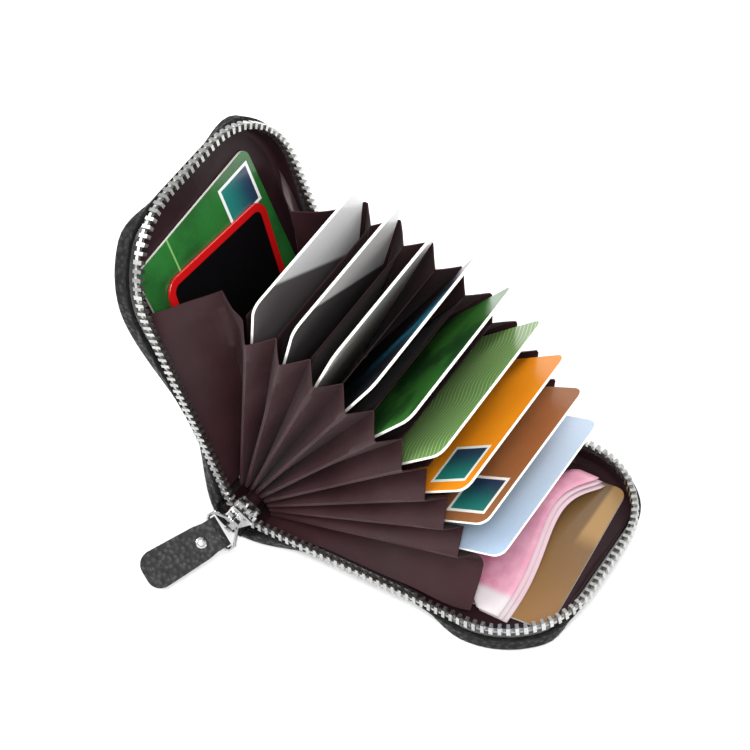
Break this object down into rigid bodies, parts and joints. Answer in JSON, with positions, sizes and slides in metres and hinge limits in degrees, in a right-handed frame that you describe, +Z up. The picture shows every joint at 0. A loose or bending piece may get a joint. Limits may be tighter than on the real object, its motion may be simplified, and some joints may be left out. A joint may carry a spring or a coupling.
{
  "type": "zip-around accordion card wallet",
  "caption": "Small zip-around leather wallet standing open, with a fan of pleated card pockets, loose cards and folded notes, zip slider and leather pull.",
  "frame": {"origin": "centre of the lower cover's underside", "axes": "+Z up, +X from the spine to the mouth of the lower cover, +Y along the spine away from the slider"},
  "size_m": [0.1369, 0.104, 0.1083],
  "materials": {
    "leather": "pebbled black leather, low sheen",
    "satin": "dark plum brown satin lining",
    "page_fabric": "dark brown fabric",
    "tape": "woven black tape",
    "teeth": "bright nickel",
    "chrome": "polished",
    "notes": "pink and white paper",
    "lower_card": "gold brown",
    "upper_card": "green",
    "upper_small_card": "black with a red rim",
    "card_1": "pale blue",
    "card_2": "bronze",
    "card_3": "orange",
    "card_4": "leaf green",
    "card_5": "dark green",
    "card_6": "deep blue",
    "card_7": "white and cream",
    "card_8": "white and dark",
    "card_9": "white and grey"
  },
  "bodies": {
    "lower_cover": {"lower_cover_leather": "leather", "lower_cover_lining": "satin", "lower_zip_tape": "tape", "lower_zip_teeth": "teeth", "spine_leather": "leather", "spine_lining": "satin", "front_gusset": "satin", "back_gusset": "satin"},
    "upper_cover": {"upper_cover_leather": "leather", "upper_cover_lining": "satin", "upper_zip_tape": "tape", "upper_zip_teeth": "teeth"},
    "fan_core": {"spine_core": "satin"},
    "zip_slider": {"slider_body": "chrome"},
    "pull_loop": {"pull_ring": "chrome"},
    "pull_tab": {"pull_leather": "leather", "pull_rivet": "chrome"},
    "lower_contents": {"lower_card": "lower_card", "folded_notes": "notes"},
    "green_card": {"upper_card": "upper_card"},
    "small_card": {"upper_small_card": "upper_small_card"},
    "page_body_0": {"page_0": "page_fabric"},
    "page_body_1": {"page_1": "page_fabric"},
    "page_body_2": {"page_2": "page_fabric"},
    "page_body_3": {"page_3": "page_fabric"},
    "page_body_4": {"page_4": "page_fabric"},
    "page_body_5": {"page_5": "page_fabric"},
    "page_body_6": {"page_6": "page_fabric"},
    "page_body_7": {"page_7": "page_fabric"},
    "page_body_8": {"page_8": "page_fabric"},
    "page_body_9": {"page_9": "page_fabric"},
    "floor_body_1": {"pocket_floor_1": "page_fabric"},
    "card_body_1": {"card_1": "card_1"},
    "floor_body_2": {"pocket_floor_2": "page_fabric"},
    "card_body_2": {"card_2": "card_2"},
    "floor_body_3": {"pocket_floor_3": "page_fabric"},
    "card_body_3": {"card_3": "card_3"},
    "floor_body_4": {"pocket_floor_4": "page_fabric"},
    "card_body_4": {"card_4": "card_4"},
    "floor_body_5": {"pocket_floor_5": "page_fabric"},
    "card_body_5": {"card_5": "card_5"},
    "floor_body_6": {"pocket_floor_6": "page_fabric"},
    "card_body_6": {"card_6": "card_6"},
    "floor_body_7": {"pocket_floor_7": "page_fabric"},
    "card_body_7": {"card_7": "card_7"},
    "floor_body_8": {"pocket_floor_8": "page_fabric"},
    "card_body_8": {"card_8": "card_8"},
    "floor_body_9": {"pocket_floor_9": "page_fabric"},
    "card_body_9": {"card_9": "card_9"}
  },
  "joints": [
    {"name": "cover_hinge", "type": "hinge", "parent": "lower_cover", "child": "upper_cover", "pos_m": [-0.0515, 0, 0.0095], "axis": [0, -1, 0], "range_deg": [-104, 46], "deforming": ["front_gusset", "back_gusset", "spine_leather", "spine_lining"]},
    {"name": "page_0_turn", "type": "hinge", "parent": "lower_cover", "child": "page_body_0", "pos_m": [-0.0515, 0, 0.0095], "axis": [0, -1, 0], "range_deg": [-14.81, 6.56]},
    {"name": "page_1_turn", "type": "hinge", "parent": "lower_cover", "child": "page_body_1", "pos_m": [-0.0515, 0, 0.0095], "axis": [0, -1, 0], "range_deg": [-22.46, 9.94]},
    {"name": "page_2_turn", "type": "hinge", "parent": "lower_cover", "child": "page_body_2", "pos_m": [-0.0515, 0, 0.0095], "axis": [0, -1, 0], "range_deg": [-30.11, 13.32]},
    {"name": "page_3_turn", "type": "hinge", "parent": "lower_cover", "child": "page_body_3", "pos_m": [-0.0515, 0, 0.0095], "axis": [0, -1, 0], "range_deg": [-37.76, 16.71]},
    {"name": "page_4_turn", "type": "hinge", "parent": "lower_cover", "child": "page_body_4", "pos_m": [-0.0515, 0, 0.0095], "axis": [0, -1, 0], "range_deg": [-45.41, 20.09]},
    {"name": "page_5_turn", "type": "hinge", "parent": "lower_cover", "child": "page_body_5", "pos_m": [-0.0515, 0, 0.0095], "axis": [0, -1, 0], "range_deg": [-53.06, 23.47]},
    {"name": "page_6_turn", "type": "hinge", "parent": "lower_cover", "child": "page_body_6", "pos_m": [-0.0515, 0, 0.0095], "axis": [0, -1, 0], "range_deg": [-60.71, 26.86]},
    {"name": "page_7_turn", "type": "hinge", "parent": "lower_cover", "child": "page_body_7", "pos_m": [-0.0515, 0, 0.0095], "axis": [0, -1, 0], "range_deg": [-68.36, 30.24]},
    {"name": "page_8_turn", "type": "hinge", "parent": "lower_cover", "child": "page_body_8", "pos_m": [-0.0515, 0, 0.0095], "axis": [0, -1, 0], "range_deg": [-76.01, 33.63]},
    {"name": "page_9_turn", "type": "hinge", "parent": "lower_cover", "child": "page_body_9", "pos_m": [-0.0515, 0, 0.0095], "axis": [0, -1, 0], "range_deg": [-83.66, 37.01]},
    {"name": "floor_1_turn", "type": "hinge", "parent": "lower_cover", "child": "floor_body_1", "pos_m": [-0.0515, 0, 0.0095], "axis": [0, -1, 0], "range_deg": [-18.64, 8.25]},
    {"name": "card_1_slide", "type": "slide", "parent": "floor_body_1", "child": "card_body_1", "axis": [0.9476, 0, 0.3194], "range_m": [0, 0.05]},
    {"name": "floor_2_turn", "type": "hinge", "parent": "lower_cover", "child": "floor_body_2", "pos_m": [-0.0515, 0, 0.0095], "axis": [0, -1, 0], "range_deg": [-26.29, 11.63]},
    {"name": "card_2_slide", "type": "slide", "parent": "floor_body_2", "child": "card_body_2", "axis": [0.8967, 0, 0.4427], "range_m": [0, 0.05]},
    {"name": "floor_3_turn", "type": "hinge", "parent": "lower_cover", "child": "floor_body_3", "pos_m": [-0.0515, 0, 0.0095], "axis": [0, -1, 0], "range_deg": [-33.94, 15.02]},
    {"name": "card_3_slide", "type": "slide", "parent": "floor_body_3", "child": "card_body_3", "axis": [0.8298, 0, 0.5581], "range_m": [0, 0.05]},
    {"name": "floor_4_turn", "type": "hinge", "parent": "lower_cover", "child": "floor_body_4", "pos_m": [-0.0515, 0, 0.0095], "axis": [0, -1, 0], "range_deg": [-41.59, 18.4]},
    {"name": "card_4_slide", "type": "slide", "parent": "floor_body_4", "child": "card_body_4", "axis": [0.7481, 0, 0.6636], "range_m": [0, 0.05]},
    {"name": "floor_5_turn", "type": "hinge", "parent": "lower_cover", "child": "floor_body_5", "pos_m": [-0.0515, 0, 0.0095], "axis": [0, -1, 0], "range_deg": [-49.23, 21.78]},
    {"name": "card_5_slide", "type": "slide", "parent": "floor_body_5", "child": "card_body_5", "axis": [0.6531, 0, 0.7573], "range_m": [0, 0.05]},
    {"name": "floor_6_turn", "type": "hinge", "parent": "lower_cover", "child": "floor_body_6", "pos_m": [-0.0515, 0, 0.0095], "axis": [0, -1, 0], "range_deg": [-56.88, 25.17]},
    {"name": "card_6_slide", "type": "slide", "parent": "floor_body_6", "child": "card_body_6", "axis": [0.5465, 0, 0.8375], "range_m": [0, 0.05]},
    {"name": "floor_7_turn", "type": "hinge", "parent": "lower_cover", "child": "floor_body_7", "pos_m": [-0.0515, 0, 0.0095], "axis": [0, -1, 0], "range_deg": [-64.53, 28.55]},
    {"name": "card_7_slide", "type": "slide", "parent": "floor_body_7", "child": "card_body_7", "axis": [0.4301, 0, 0.9028], "range_m": [0, 0.05]},
    {"name": "floor_8_turn", "type": "hinge", "parent": "lower_cover", "child": "floor_body_8", "pos_m": [-0.0515, 0, 0.0095], "axis": [0, -1, 0], "range_deg": [-72.19, 31.93]},
    {"name": "card_8_slide", "type": "slide", "parent": "floor_body_8", "child": "card_body_8", "axis": [0.3061, 0, 0.952], "range_m": [0, 0.05]},
    {"name": "floor_9_turn", "type": "hinge", "parent": "lower_cover", "child": "floor_body_9", "pos_m": [-0.0515, 0, 0.0095], "axis": [0, -1, 0], "range_deg": [-79.83, 35.32]},
    {"name": "card_9_slide", "type": "slide", "parent": "floor_body_9", "child": "card_body_9", "axis": [0.1767, 0, 0.9843], "range_m": [0, 0.05]},
    {"name": "core_turn", "type": "hinge", "parent": "lower_cover", "child": "fan_core", "pos_m": [-0.0515, 0, 0.0095], "axis": [0, -1, 0], "range_deg": [-52.01, 23.01]},
    {"name": "zip_slide", "type": "slide", "parent": "fan_core", "child": "zip_slider", "axis": [0.6157, 0, 0.788], "range_m": [0, 0.075]},
    {"name": "loop_hinge", "type": "hinge", "parent": "zip_slider", "child": "pull_loop", "pos_m": [-0.0515, -0.03985, 0.0095], "axis": [-0.7494, 0.309, 0.5855], "range_deg": [-20, 10]},
    {"name": "tab_hinge", "type": "hinge", "parent": "pull_loop", "child": "pull_tab", "pos_m": [-0.05405, -0.04454, 0.00871], "axis": [-0.7494, 0.309, 0.5855], "range_deg": [-30, 10]},
    {"name": "green_card_slide", "type": "slide", "parent": "upper_cover", "child": "green_card", "axis": [-0.2419, 0, 0.9703], "range_m": [0, 0.008]},
    {"name": "small_card_slide", "type": "slide", "parent": "upper_cover", "child": "small_card", "axis": [-0.2419, 0, 0.9703], "range_m": [0, 0.015]},
    {"name": "contents_tilt", "type": "hinge", "parent": "lower_cover", "child": "lower_contents", "pos_m": [-0.0435, 0, 0.00205], "axis": [0, -1, 0], "range_deg": [0, 3]}
  ],
  "couplings": [
    {"joint": "page_0_turn", "follows": "cover_hinge", "ratio": 0.14231},
    {"joint": "page_1_turn", "follows": "cover_hinge", "ratio": 0.21587},
    {"joint": "page_2_turn", "follows": "cover_hinge", "ratio": 0.28942},
    {"joint": "page_3_turn", "follows": "cover_hinge", "ratio": 0.36298},
    {"joint": "page_4_turn", "follows": "cover_hinge", "ratio": 0.43654},
    {"joint": "page_5_turn", "follows": "cover_hinge", "ratio": 0.5101},
    {"joint": "page_6_turn", "follows": "cover_hinge", "ratio": 0.58365},
    {"joint": "page_7_turn", "follows": "cover_hinge", "ratio": 0.65721},
    {"joint": "page_8_turn", "follows": "cover_hinge", "ratio": 0.73077},
    {"joint": "page_9_turn", "follows": "cover_hinge", "ratio": 0.80433},
    {"joint": "floor_1_turn", "follows": "cover_hinge", "ratio": 0.17909},
    {"joint": "floor_2_turn", "follows": "cover_hinge", "ratio": 0.25264},
    {"joint": "floor_3_turn", "follows": "cover_hinge", "ratio": 0.3262},
    {"joint": "floor_4_turn", "follows": "cover_hinge", "ratio": 0.39976},
    {"joint": "floor_5_turn", "follows": "cover_hinge", "ratio": 0.47332},
    {"joint": "floor_6_turn", "follows": "cover_hinge", "ratio": 0.54688},
    {"joint": "floor_7_turn", "follows": "cover_hinge", "ratio": 0.62043},
    {"joint": "floor_8_turn", "follows": "cover_hinge", "ratio": 0.69399},
    {"joint": "floor_9_turn", "follows": "cover_hinge", "ratio": 0.76755},
    {"joint": "core_turn", "follows": "cover_hinge", "ratio": 0.5}
  ]
}
